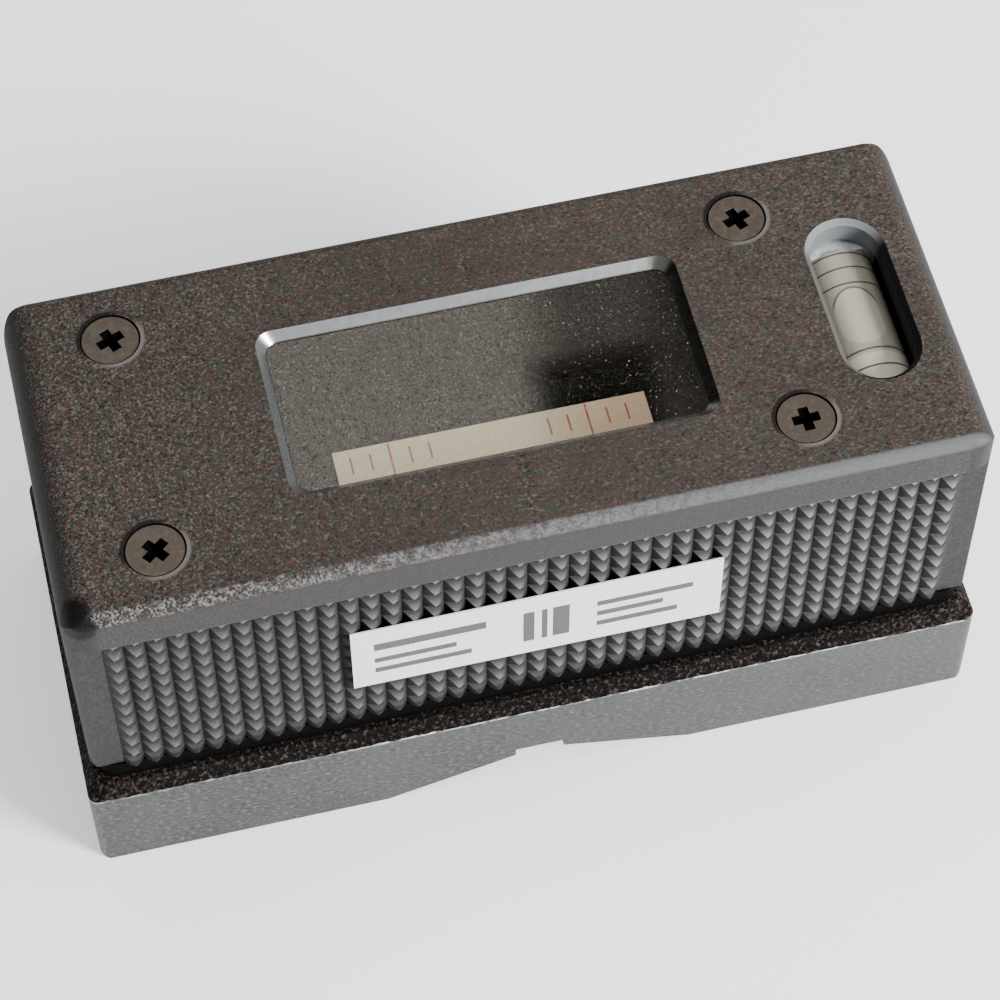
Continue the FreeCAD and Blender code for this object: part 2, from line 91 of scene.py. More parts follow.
class LevelSizes(bpy.types.PropertyGroup):
    """Sizes of the finishes and printed marks."""

    paint_grain: length("Paint grain", "Size of the grains in the cover's structure paint", 0.26 * MM)
    paint_relief: length("Paint relief", "Height of the grains in the cover's structure paint", 0.05 * MM)
    window_length: length("Window length", "Length of the window with its bevel", 45.5 * MM)
    window_width: length("Window width", "Width of the window with its bevel", 21.0 * MM)
    slot_length: length("Slot length", "Length of the slot over the cross vial", 21.4 * MM)
    slot_width: length("Slot width", "Width of the slot over the cross vial", 8.8 * MM)
    hole_radius: length("Screw hole radius", "Radius of the bare rim round each cover screw", 3.25 * MM)
    knurl_height: length("Knurl height", "Height of the grip points above their grooves", 1.1 * MM)
    flank_height: length("Flank height", "Height of the ground flanks above the sole", 13.2 * MM)
    bevel_height: length("Bevel height", "Height of the painted bevel above the flanks", 1.9 * MM)
    tick_pitch: length("Graduation pitch", "Distance between graduations", 2.1 * MM)
    tick_width: length("Graduation width", "Width of one graduation", 0.21 * MM)
    tick_gap: length("Graduation gap", "Distance between the two middle graduations", 12.8 * MM)
    tick_short: length("Short graduation", "Length of a short graduation", 2.1 * MM)
    tick_long: length("Long graduation", "Length of the middle graduation of a group", 4.25 * MM)
    tick_count: IntProperty(name="Graduations", description="Graduations in each group", default=5,
                            min=1, max=9)
    ring_width: length("Ring width", "Width of a dark ring on the cross vial", 0.22 * MM)
    bubble_length: length("Bubble length", "Length of the bubble in the cross vial", 7.4 * MM)


class LevelColours(bpy.types.PropertyGroup):
    """Colours of the finishes and printed marks."""

    paint_top: colour("Top paint", "Structure paint on the top of the cover", (0.033, 0.0250, 0.0202))
    paint_side: colour("Side paint", "Structure paint on the sides of the cover", (0.040, 0.039, 0.038))
    paint_red: colour("Red grains", "Reddish grains in the structure paint", (0.070, 0.030, 0.028))
    paint_green: colour("Green grains", "Greenish grains in the structure paint", (0.024, 0.044, 0.033))
    paint_pale: colour("Pale grains", "Pale grains in the structure paint", (0.112, 0.104, 0.094))
    # Upper front edge: rubbed paint with a painted highlight
    edge_wear_and_highlight: colour("Edge wear and highlight", "Rubbed paint and painted highlight on the upper front edge", (0.108, 0.114, 0.116))
    bare_metal: colour("Bare bevels", "Machined bevels of the cover", (0.50, 0.505, 0.510))
    iron: colour("Ground iron", "Ground flanks and sole", (0.081, 0.083, 0.083))
    bevel_paint: colour("Bevel paint", "Rough paint on the bevel of the body", (0.0060, 0.0050, 0.0046))
    # Brown tone for patches on the bevel, denser towards its ends
    bevel_end_brown: colour("End brown", "Brown tone at the ends of the bevel", (0.026, 0.018, 0.015))
    oxide: colour("Screw oxide", "Dark oxide on the cover screws", (0.049, 0.036, 0.0245))
    cream: colour("Cream", "Scale plate", (0.93, 0.80, 0.565))
    cream_warm: colour("Warm cream", "Scale plate at its right end", (0.72, 0.50, 0.335))
    tick_red: colour("Red", "Graduations", (0.46, 0.045, 0.040))
    vial_cream: colour("Cross vial", "Body of the cross vial", (0.325, 0.295, 0.235))
    bubble_cream: colour("Bubble", "Body of the cross vial over its bubble", (0.41, 0.385, 0.315))
    ring_dark: colour("Ring", "Dark rings of the cross vial", (0.030, 0.025, 0.020))
    label_white: colour("Label", "Ground of the label", (0.84, 0.825, 0.78))
    print_grey: colour("Print", "Plain bars on the label", (0.035, 0.035, 0.038))


# Shader helpers


class Socket:
    """A node socket that takes part in ordinary arithmetic."""

    def __init__(self, tree, source):
        self.tree = tree
        self.source = source

    def maths(self, operation, *values):
        made = self.tree.nodes.new("ShaderNodeMath")
        made.operation = operation
        for slot, value in zip(made.inputs, values):
            plug(self.tree, slot, value)
        return Socket(self.tree, made.outputs[0])

    def __add__(self, other):
        return self.maths("ADD", self, other)

    def __radd__(self, other):
        return self.maths("ADD", other, self)

    def __sub__(self, other):
        return self.maths("SUBTRACT", self, other)

    def __rsub__(self, other):
        return self.maths("SUBTRACT", other, self)

    def __mul__(self, other):
        return self.maths("MULTIPLY", self, other)

    def __rmul__(self, other):
        return self.maths("MULTIPLY", other, self)

    def __truediv__(self, other):
        return self.maths("DIVIDE", self, other)

    def __gt__(self, other):
        return self.maths("GREATER_THAN", self, other)

    def __lt__(self, other):
        return self.maths("LESS_THAN", self, other)

    def __pow__(self, other):
        return self.maths("POWER", self, other)

    def __abs__(self):
        return self.maths("ABSOLUTE", self)

    def larger(self, other):
        return self.maths("MAXIMUM", self, other)

def plug(tree, slot, value):
    """Links a socket, or sets a plain value."""
    if isinstance(value, Socket):
        tree.links.new(value.source, slot)
    elif slot.type == "RGBA":
        slot.default_value = (*value, 1.0)
    else:
        slot.default_value = value


class Finish:
    """A material and the nodes that make it."""

    def __init__(self, name):
        self.material = bpy.data.materials.new(name)
        self.material.use_nodes = True
        self.tree = self.material.node_tree
        self.tree.nodes.clear()

    def node(self, kind, settings=None, inputs=None, output=0):
        """Adds one node: its settings first, then the values or links of its sockets."""
        made = self.tree.nodes.new(kind)
        for key, value in (settings or {}).items():
            setattr(made, key, value)
        for key, value in (inputs or {}).items():
            plug(self.tree, made.inputs[key], value)
        return Socket(self.tree, made.outputs[output])

    def place(self):
        """Object coordinates as one vector."""
        return self.node("ShaderNodeTexCoord", output="Object")

    def part(self, vector, axis):
        """One part of a vector: 0 for x, 1 for y, 2 for z."""
        return self.node("ShaderNodeSeparateXYZ", inputs={0: vector}, output=axis)

    def noise(self, vector, size, detail=2.0, stretch=(1.0, 1.0, 1.0), shift=(0.0, 0.0, 0.0)):
        """Noise between 0 and 1 whose features have about this size in metres."""
        scale = tuple(pull / size for pull in stretch)
        scaled = self.node("ShaderNodeMapping", inputs={"Vector": vector, "Location": shift, "Scale": scale})
        return self.node("ShaderNodeTexNoise", inputs={"Vector": scaled, "Scale": 1.0, "Detail": detail,
                                                       "Roughness": 0.6})

    def step(self, value, low, high):
        """Smooth step from 0 at low to 1 at high."""
        return self.node("ShaderNodeMapRange", settings={"interpolation_type": "SMOOTHSTEP"},
                         inputs={"Value": value, "From Min": low, "From Max": high})

    def mix(self, factor, first, second, blend="MIX"):
        """Mix of two colours."""
        return self.node("ShaderNodeMix", settings={"data_type": "RGBA", "blend_type": blend},
                         inputs={0: factor, 6: first, 7: second}, output=2)

    def facing(self, axis):
        """How far the surface faces along one axis, from -1 to 1."""
        return self.part(self.node("ShaderNodeNewGeometry", output="True Normal"), axis)

    def bump(self, height, depth, strength=1.0):
        """Normal of a surface with this height, in units of depth."""
        return self.node("ShaderNodeBump", inputs={"Height": height, "Distance": depth, "Strength": strength})

    def principled(self, inputs):
        """The principled shader as a socket."""
        return self.node("ShaderNodeBsdfPrincipled", inputs=inputs)

    def end(self, shader):
        """Gives the shader to the material output and returns the material."""
        out = self.tree.nodes.new("ShaderNodeOutputMaterial")
        self.tree.links.new(shader.source, out.inputs["Surface"])
        return self.material


def inside(x, y, centre_x, centre_y, half_x, half_y):
    """1 within an upright rectangular column, 0 outside it."""
    return (abs(x - centre_x) < half_x) * (abs(y - centre_y) < half_y)


# Mesh helpers


def dress(node, material):
    """Gives a CAD node its finish."""
    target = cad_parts[node]
    if not target.material_slots:
        target.data.materials.append(material)
    for held in target.material_slots:
        held.material = material


def add_piece(name, mesh, material):
    """Puts a finished mesh into the scene, riding on the level."""
    mesh.update()
    piece = bpy.data.objects.new(name, mesh)
    bpy.context.scene.collection.objects.link(piece)
    mesh.materials.append(material)
    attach(piece, "root")
    return piece


def add_block(bm, low, high):
    """A box between two corners."""
    size = Vector(high) - Vector(low)
    middle = (Vector(high) + Vector(low)) / 2
    bmesh.ops.create_cube(bm, size=1.0, matrix=Matrix.Translation(middle) @ Matrix.Diagonal((*size, 1.0)))


def mesh_from(bm, name):
    """Turns a bmesh into a mesh."""
    mesh = bpy.data.meshes.new(name)
    bm.to_mesh(mesh)
    bm.free()
    return mesh


# Finishes


def ellipsoid(x, y, z, middle, radii):
    """Distance from middle, measured in units of the three radii."""
    parts = [((axis - m) / r) ** 2.0 for axis, m, r in zip((x, y, z), middle, radii)]
    return (parts[0] + parts[1] + parts[2]) ** 0.5


def openings(f, x, y, sizes):
    """In plan: 1 within the window and the screw holes, and 1 within the slot."""
    window = centre("window_pane")
    vial = centre("cross_vial_tube")
    rim = 0.1 * MM
    found = inside(x, y, window.x, window.y, sizes.window_length / 2 + rim, sizes.window_width / 2 + rim)
    slot = inside(x, y, vial.x, vial.y, sizes.slot_width / 2 + rim, sizes.slot_length / 2 + rim)
    for name in SCREW_NODES:
        middle = centre(name)
        away = (x - middle.x) ** 2.0 + (y - middle.y) ** 2.0
        found = found.larger(away < sizes.hole_radius ** 2)
    return found, slot


def structure_paint(sizes, colours):
    """Grained paint on the cover: browner on top, greyer on the sides, rubbed pale along the upper front edge
    with a painted highlight there, painted shade in the grip grooves, end corners, slot and opening walls,
    painted highlights round the screws and on the slot's left wall and back end, painted dark reflections at
    the front-left top corner and the window's right end, and bare metal where the openings were machined
    through it."""
    f = Finish("structure_paint")
    place = f.place()
    x, y, z = (f.part(place, axis) for axis in range(3))
    right = f.step(x, COVER_LOW.x, COVER_HIGH.x)
    lined = f.noise(place, sizes.paint_grain, 2.0, stretch=(0.75, 1.0, 1.0))
    grain = f.noise(place, sizes.paint_grain, 2.0) * (1 - right) + lined * right
    tint = f.noise(place, sizes.paint_grain * 1.15, 1.0, shift=(3.1, 1.7, 0.4))
    coarse = f.noise(place, sizes.paint_grain * 3.5, 3.0)
    cloud = f.noise(place, 9 * MM, 2.0)
    flat = f.step(z, TOP_Z - 1.0 * MM, TOP_Z - 0.15 * MM)
    side = f.mix(right, colours.paint_side, (0.043, 0.043, 0.042))
    tone = f.mix(flat, side, f.mix(right, colours.paint_top, (0.043, 0.034, 0.0285)))
    tone = f.mix(f.step(tint, 0.50, 0.66) * (0.15 + flat * 0.65), tone, colours.paint_red)
    tone = f.mix(f.step(tint, 0.48, 0.34) * (0.15 + flat * 0.65), tone, colours.paint_green)
    tone = f.mix(f.step(grain, 0.53, 0.68) * (0.30 + flat * (0.60 - right * 0.22)), tone,
                 colours.paint_pale)
    tone = f.mix(f.step(grain, 0.47, 0.33) * (0.35 + flat * (0.60 - right * 0.20)), tone,
                 (0.004, 0.003, 0.003))
    tone = f.mix(f.step(cloud, 0.35, 0.70) * 0.22 * flat, tone, (0.018, 0.014, 0.012))
    # Upper front edge: rubbed paint and a painted highlight, speckled at the left and smooth at the right
    band = f.step(z, TOP_Z - 1.2 * MM, TOP_Z - 0.7 * MM)
    band = band * f.step(y, COVER_LOW.y + 1.5 * MM, COVER_LOW.y + 1.0 * MM)
    patchy = (f.step(coarse, 0.40, 0.56) * (1 - right) + right) * (0.80 + right * 0.12)
    grainy = f.step(grain, 0.44, 0.58) * (1 - right) + right
    tone = f.mix(band * patchy * grainy, tone, f.mix(right, (0.205, 0.203, 0.212), colours.edge_wear_and_highlight))
    # Painted shade: the sides darken towards the rounded end corners
    corners = f.step(abs(x), COVER_HIGH.x - 3.8 * MM, COVER_HIGH.x - 3.0 * MM) * (1 - flat)
    tone = f.mix(corners * 0.25, tone, (0.0, 0.0, 0.0))
    panel = f.step(z, TOP_Z - PANEL_DROP, TOP_Z - PANEL_DROP - 0.3 * MM)
    panel = panel * (abs(x) < COVER_HIGH.x - 3.6 * MM)
    # The grip points are lighter at their tips: rubbed paint, and a painted highlight
    tips = f.step(abs(y), COVER_HIGH.y - sizes.knurl_height * 0.75, COVER_HIGH.y - 0.12 * MM)
    tip_tone = f.mix(right, (0.160, 0.156, 0.159), (0.265, 0.261, 0.265))
    tone = f.mix(panel * tips * (0.6 + right * 0.15), tone, tip_tone)
    # Painted shade in the grooves between the grip points, weaker towards the right
    deep = f.step(abs(y), COVER_HIGH.y - sizes.knurl_height * 0.60, COVER_HIGH.y - sizes.knurl_height)
    tone = f.mix(panel * deep * (0.6 - right * 0.35), tone, (0.012, 0.010, 0.011))
    # Painted shade: near black along the foot of the grip panel
    tone = f.mix(panel * f.step(z, FOOT_Z + 1.1 * MM, FOOT_Z + 0.6 * MM) * 0.85, tone, NEAR_BLACK)
    # Painted shade on the left-facing flanks of the grip points
    tone = f.mix(panel * f.step(f.facing(0), -0.25, -0.55) * 0.85, tone, (0.006, 0.0045, 0.006))
    # Painted dark reflection: a near-black patch on the rounded front-left top corner
    corner = ellipsoid(x, y, z, (COVER_LOW.x + 1.8 * MM, COVER_LOW.y + 1.6 * MM, TOP_Z - 1.3 * MM),
                       (2.3 * MM, 2.4 * MM, 1.8 * MM))
    tone = f.mix(f.step(corner + (coarse - 0.5) * 0.5, 1.15, 0.85) * 0.95, tone, NEAR_BLACK)
    # Round each screw hole: painted highlight on the rim at the lower right, painted shade at the upper left
    for name in SCREW_NODES:
        middle = centre(name)
        away = ((x - middle.x) ** 2.0 + (y - middle.y) ** 2.0) ** 0.5
        rim = f.step(away, sizes.hole_radius + 0.50 * MM, sizes.hole_radius + 0.20 * MM) * flat
        slant = ((x - middle.x) - (y - middle.y)) / sizes.hole_radius
        tone = f.mix(rim * f.step(slant, 0.1, 1.0) * 0.8, tone, (0.120, 0.112, 0.102))
        tone = f.mix(rim * f.step(slant, -0.1, -1.0) * 0.9, tone, (0.003, 0.0025, 0.0025))
    found, slot = openings(f, x, y, sizes)
    below = (z < TOP_Z - 0.02 * MM) * (z > TOP_Z - WALL_DEPTH)
    lit_end = f.step(y, 6.0 * MM, 8.5 * MM)
    # Painted shade makes the slot walls near black; the left wall gets painted light, and the lit back end a
    # pale painted highlight
    tone = f.mix(slot * below, tone, (0.006, 0.005, 0.005))
    lit_slot_side = f.step(x, centre("cross_vial_tube").x - 2.4 * MM, centre("cross_vial_tube").x - 3.2 * MM)
    tone = f.mix(slot * lit_slot_side * below, tone, (0.095, 0.092, 0.084))
    tone = f.mix(slot * lit_end * below, tone, (0.18, 0.192, 0.202))
    bare = found * below * (z > TOP_Z - BEVEL_DEPTH)
    # Painted shade: the walls of the window and screw holes below the bevel are dark
    tone = f.mix(found * below, tone, (0.010, 0.009, 0.007))
    window = centre("window_pane")
    end_x = window.x + sizes.window_length / 2
    # Painted dark reflection on the bevel at the window's right end, and a painted shadow line along the foot
    # of the bevel
    dark_reflection_end = f.step(x, end_x - 3.2 * MM, end_x - 2.0 * MM) * (x < end_x + 0.5 * MM)
    foot = f.step(z, TOP_Z - 0.86 * MM, TOP_Z - 0.96 * MM)
    metal = f.mix(dark_reflection_end.larger(foot), colours.bare_metal, (0.24, 0.23, 0.20))
    relief = (grain * 0.7 + coarse * 0.5) * (1 - bare) * (0.45 + flat * 0.55)
    shader = f.principled({
        "Base Color": f.mix(bare, tone, metal),
        "Metallic": bare,
        "Roughness": 0.52 + coarse * 0.14 - bare * 0.34,
        "Specular IOR Level": 0.15,
        "Normal": f.bump(relief, sizes.paint_relief, 0.8),
    })
    return f.end(shader)


def iron_finish(sizes, colours):
    """Ground iron on the flanks and sole, with a painted highlight along their top edge and a painted
    reflection that lightens them to the right; rough dark paint on the bevel, browner towards the ends; near
    black above the bevel as painted shade on the neck and inner block.
    """
    f = Finish("ground_iron_and_paint")
    place = f.place()
    x = f.part(place, 0)
    z = f.part(place, 2)
    lines = f.noise(place, 0.12 * MM, 3.0, stretch=(0.05, 1.0, 1.0))
    speck = f.noise(place, 0.36 * MM, 2.0, stretch=(0.55, 1.0, 1.0))
    cloud = f.noise(place, 6 * MM, 3.0)
    rough = f.noise(place, 0.42 * MM, 4.0)
    wander = f.noise(place, 0.9 * MM, 3.0)
    dash = f.noise(place, 1.6 * MM, 2.0, stretch=(1.0, 0.2, 0.2))
    border = sizes.flank_height + (wander - 0.5) * 0.55 * MM
    painted = f.step(z - border, -0.04 * MM, 0.05 * MM)
    # Painted highlight: a broken pale line along the top edge of the flanks, fainter at the left
    edge = f.step(z, sizes.flank_height - 0.36 * MM, sizes.flank_height - 0.16 * MM) * (1 - painted)
    edge = edge * f.step(dash, 0.38, 0.62) * (0.45 + f.step(x, -34 * MM, -8 * MM) * 0.55)
    iron = f.mix(f.step(lines, 0.35, 0.65) * 0.35, colours.iron, (0.070, 0.072, 0.073))
    iron = f.mix(f.step(speck, 0.53, 0.68) * 0.85, iron, (0.210, 0.217, 0.220))
    iron = f.mix(f.step(speck, 0.46, 0.32) * 0.80, iron, (0.028, 0.028, 0.027))
    iron = f.mix(f.step(cloud, 0.35, 0.65) * 0.25, iron, (0.130, 0.134, 0.137))
    # Painted reflection: the flanks lighten towards the right end
    iron = f.mix(f.step(x, BASE_LOW.x, BASE_HIGH.x) * 0.35, iron, (0.130, 0.135, 0.140))
    iron = f.mix(edge, iron, (0.60, 0.60, 0.58))
    # Brown patches on the bevel, more of them towards the ends
    ends = f.step(abs(x), BASE_HIGH.x - 14 * MM, BASE_HIGH.x - 3 * MM)
    paint = f.mix(f.step(rough, 0.42, 0.60) * (0.25 + ends * 0.75), colours.bevel_paint, colours.bevel_end_brown)
    paint = f.mix(f.step(rough, 0.54, 0.68) * 0.7, paint, (0.085, 0.079, 0.073))
    paint = f.mix(f.step(rough, 0.47, 0.36) * 0.9, paint, NEAR_BLACK)
    bevel_top = sizes.flank_height + sizes.bevel_height
    # Painted shade: near black above the bevel, on the neck under the cover
    above = f.step(z, bevel_top, bevel_top + 0.3 * MM)
    paint = f.mix(above, paint, NEAR_BLACK)
    shader = f.principled({
        "Base Color": f.mix(painted, iron, paint),
        "Metallic": (1 - painted) * (1 - edge),
        "Roughness": 0.44 + speck * 0.12 + painted * 0.15,
        "Specular IOR Level": 0.03,
        "Normal": f.bump(lines * 0.05 * (1 - painted) + rough * painted, 0.32 * MM, 0.9),
    })
    return f.end(shader)


def oxide_finish(sizes, colours):
    """Dark oxide on the cover screws, rubbed on the faces, with painted shade making the recess black."""
    f = Finish("screw_oxide")
    place = f.place()
    z = f.part(place, 2)
    worn = f.noise(place, 0.6 * MM, 3.0)
    tone = f.mix(f.step(worn, 0.45, 0.70) * 0.7, colours.oxide, (0.075, 0.060, 0.045))
    tone = f.mix(f.step(worn, 0.45, 0.28) * 0.5, tone, (0.020, 0.016, 0.013))
    face = f.principled({
        "Base Color": tone,
        "Metallic": 0.3,
        "Roughness": 0.42 + worn * 0.2,
        "Normal": f.bump(worn, 0.02 * MM, 0.5),
    })
    # Painted shade: the cross recess is drawn black
    black = f.node("ShaderNodeBsdfDiffuse", inputs={"Color": (0.002, 0.002, 0.002)})
    deep = f.step(z, TOP_Z - 0.17 * MM, TOP_Z - 0.24 * MM)
    return f.end(f.node("ShaderNodeMixShader", inputs={0: deep, 1: face, 2: black}))


def clear_finish(name, tint, haze, haze_size, specks=0.0, shine=(1.0, 1.0, 1.0), top=None):
    """Clear sheet or glass: light passes straight through, the face mirrors, and a thin haze lies on it.
    Where top is given, only the face at that height mirrors and holds dust."""
    f = Finish(name)
    place = f.place()
    z = f.part(place, 2)
    film = f.noise(place, haze_size, 3.0)
    speck = f.step(f.noise(place, 0.22 * MM, 1.0), 0.68, 0.76)
    grain = f.noise(place, 0.25 * MM, 1.0, shift=(5.3, 2.1, 0.0))
    dots = f.noise(place, 0.22 * MM, 1.0, shift=(1.9, 7.7, 0.0))
    through = f.node("ShaderNodeBsdfTransparent", inputs={"Color": tint})
    mirror = f.node("ShaderNodeBsdfGlossy", inputs={"Color": shine, "Roughness": 0.05})
    film_tone = f.mix(f.step(film, 0.40, 0.62), (0.03, 0.024, 0.016), (0.30, 0.26, 0.20))
    dust = f.principled({"Base Color": f.mix(speck, film_tone, (0.60, 0.55, 0.47)), "Roughness": 0.6})
    gloss = f.node("ShaderNodeFresnel", inputs={"IOR": 1.5 if top is None else 1.85})
    upper = 1.0 if top is None else z > top - 0.2 * MM
    unevenness = 0.94 + f.step(dots, 0.58, 0.70) * 0.95 - f.step(grain, 0.44, 0.32) * 0.50
    clear = f.node("ShaderNodeMixShader", inputs={0: gloss * unevenness * upper, 1: through, 2: mirror})
    cover = (haze * (0.4 + film * 1.2)).larger(speck * specks) * upper
    shader = f.node("ShaderNodeMixShader", inputs={0: cover, 1: clear, 2: dust})
    return f.end(shader)


def strip_finish(sizes, colours):
    """Cream scale plate that turns warmer and darker towards its right end, a painted shade."""
    f = Finish("scale_cream")
    place = f.place()
    x = f.part(place, 0)
    grain = f.noise(place, 0.5 * MM, 3.0)
    # Painted shade: warmer and darker towards the right end
    tone = f.mix(f.step(x, 0.0, SCALE_HIGH.x), colours.cream, colours.cream_warm)
    tone = f.mix(f.step(grain, 0.35, 0.65) * 0.18, tone, (0.52, 0.44, 0.33))
    shader = f.principled({
        "Base Color": tone,
        "Roughness": 0.45 + (grain - 0.5) * 0.15,
        "Normal": f.bump(grain, 0.01 * MM, 0.4),
    })
    return f.end(shader)


def dark_inside(name, base, light, gap_from=None):
    """A dark speckled surface down in the pocket; in front of gap_from it is black, a painted shadow in the
    gap between the vial and the scale plate.
    """
    f = Finish(name)
    place = f.place()
    y = f.part(place, 1)
    grain = f.noise(place, 0.35 * MM, 3.0)
    patch = f.noise(place, 2.2 * MM, 3.0)
    tone = f.mix(f.step(patch, 0.40, 0.62) * 0.6, base, light)
    tone = f.mix(f.step(grain, 0.58, 0.74) * 0.6, tone, light)
    if gap_from is not None:
        # Painted shadow in the gap between the vial and the scale plate
        tone = f.mix(f.step(y, gap_from, gap_from - 1.2 * MM), tone, (0.003, 0.003, 0.003))
    shader = f.principled({
        "Base Color": tone,
        "Roughness": 0.55 + grain * 0.2,
        "Specular IOR Level": 0.02,
        "Normal": f.bump(grain, 0.03 * MM, 0.5),
    })
    return f.end(shader)


def plain_finish(name, base, other, size, roughness, metallic=0.0, bump=0.0):
    """A surface of two near tones with fine texture."""
    f = Finish(name)
    place = f.place()
    grain = f.noise(place, size, 3.0)
    shader = f.principled({
        "Base Color": f.mix(f.step(grain, 0.35, 0.65), base, other),
        "Metallic": metallic,
        "Roughness": roughness + (grain - 0.5) * 0.15,
        "Normal": f.bump(grain, bump or 0.01 * MM, 0.5),
    })
    return f.end(shader)


def cross_vial_finish(sizes, colours):
    """Cream body of the cross vial, paler where its bubble lies, with a dark line round the bubble."""
    f = Finish("cross_vial_cream")
    place = f.place()
    x, y, z = (f.part(place, axis) for axis in range(3))
    middle = centre("cross_vial_tube")
    grain = f.noise(place, 0.30 * MM, 3.0)
    along = (abs(y - middle.y) - (sizes.bubble_length / 2 - 2.4 * MM)).larger(0.0)
    away = ((x - middle.x) ** 2.0 + along ** 2.0) ** 0.5
    upper = z > middle.z
    bubble = f.step(away, 2.5 * MM, 2.2 * MM) * upper
    line = f.step(away, 2.2 * MM, 2.35 * MM) * f.step(away, 2.6 * MM, 2.45 * MM) * upper
    back = f.step(y - middle.y, 1.0 * MM, 2.6 * MM)
    front = f.step(middle.y - y, 4.6 * MM, 5.2 * MM)
    body = f.mix(f.step(grain, 0.35, 0.65), colours.vial_cream, (0.28, 0.257, 0.205))
    body = f.mix(front * 0.6, body, (0.60, 0.575, 0.48))
    body = f.mix(bubble * 0.75, body, colours.bubble_cream)
    body = f.mix(line * back * 0.85, body, (0.06, 0.055, 0.045))
    body = f.mix(f.step(grain, 0.62, 0.72) * 0.25, body, (0.12, 0.11, 0.09))
    shader = f.principled({
        "Base Color": body,
        "Roughness": 0.28 + grain * 0.12,
        "Coat Weight": 0.3 + grain * 0.2,
        "Normal": f.bump(grain, 0.01 * MM, 0.4),
    })
    return f.end(shader)


# Operators


class LEVEL_OT_body(bpy.types.Operator):
    """Finish the iron body."""

    bl_idname = "level.body"
    bl_label = "Iron body"

    def execute(self, context):
        dress("base_casting", iron_finish(context.scene.level_sizes, context.scene.level_colours))
        return {"FINISHED"}


class LEVEL_OT_cover(bpy.types.Operator):
    """Finish the grip cover."""

    bl_idname = "level.cover"
    bl_label = "Grip cover"

    def execute(self, context):
        dress("grip_cover", structure_paint(context.scene.level_sizes, context.scene.level_colours))
        return {"FINISHED"}


class LEVEL_OT_screws(bpy.types.Operator):
    """Finish the four cover screws."""

    bl_idname = "level.screws"
    bl_label = "Cover screws"

    def execute(self, context):
        material = oxide_finish(context.scene.level_sizes, context.scene.level_colours)
        for name in SCREW_NODES:
            dress(name, material)
        return {"FINISHED"}


class LEVEL_OT_window(bpy.types.Operator):
    """Finish the pane and the scale plate, and print the graduations."""

    bl_idname = "level.window"
    bl_label = "Window and scale"

    def execute(self, context):
        sizes = context.scene.level_sizes
        colours = context.scene.level_colours
        dress("window_pane", clear_finish("pane", (0.98, 0.98, 0.965), 0.012, 0.3 * MM, 0.40, top=PANE_TOP))
        dress("scale_plate", strip_finish(sizes, colours))
        red = plain_finish("graduation_red", tuple(colours.tick_red), (0.55, 0.16, 0.12), 0.3 * MM, 0.5)
        bm = bmesh.new()
        middle = centre("scale_plate").x - 0.3 * MM
        for side in (-1, 1):
            for n in range(sizes.tick_count):
                x = middle + side * (sizes.tick_gap / 2 + n * sizes.tick_pitch)
                longest = n == sizes.tick_count // 2
                back = SCALE_HIGH.y - (0.15 * MM if longest else 1.0 * MM)
                front = back - (sizes.tick_long if longest else sizes.tick_short)
                add_block(bm, (x - sizes.tick_width / 2, front, SCALE_HIGH.z - 0.01 * MM),
                          (x + sizes.tick_width / 2, back, SCALE_HIGH.z + INK_STEP))
        add_piece("scale_graduations", mesh_from(bm, "scale_graduations"), red)
        return {"FINISHED"}


class LEVEL_OT_main_vial(bpy.types.Operator):
    """Finish the main vial, its cradle and its fastenings."""

    bl_idname = "level.main_vial"
    bl_label = "Main vial"

    def execute(self, context):
        vial = centre("main_vial_tube")
        dress("main_vial_tube", clear_finish("vial_glass", (0.90, 0.92, 0.88), 0.002, 0.5 * MM, 0.0,
                                             (0.03, 0.03, 0.027)))
        dress("main_vial_liquid", dark_inside("vial_liquid", (0.004, 0.0034, 0.0024), (0.010, 0.0085, 0.006),
                                              vial.y - 0.5 * MM))
        cement = plain_finish("cement", (0.009, 0.0075, 0.0055), (0.005, 0.004, 0.003), 0.4 * MM, 0.8,
                              bump=0.05 * MM)
        for name in ("main_vial_cement_left", "main_vial_cement_right"):
            dress(name, cement)
        plaster = plain_finish("plaster", (0.46, 0.50, 0.54), (0.36, 0.39, 0.42), 0.4 * MM, 0.7,
                               bump=0.05 * MM)
        dress("cross_vial_cement", plaster)
        folded = dark_inside("folded_aluminium", (0.006, 0.005, 0.0035), (0.016, 0.013, 0.009))
        dress("vial_cradle", folded)
        brass = plain_finish("brass", (0.55, 0.40, 0.18), (0.42, 0.30, 0.13), 0.4 * MM, 0.35, metallic=1.0)
        steel = plain_finish("plain_steel", (0.35, 0.35, 0.35), (0.25, 0.25, 0.25), 0.3 * MM, 0.35,
                             metallic=1.0)
        for name in ("cradle_washer", "adjusting_nut_lower", "adjusting_nut_upper"):
            dress(name, brass)
        for name in ("cradle_clamp_screw", "adjusting_stud"):
            dress(name, steel)
        return {"FINISHED"}


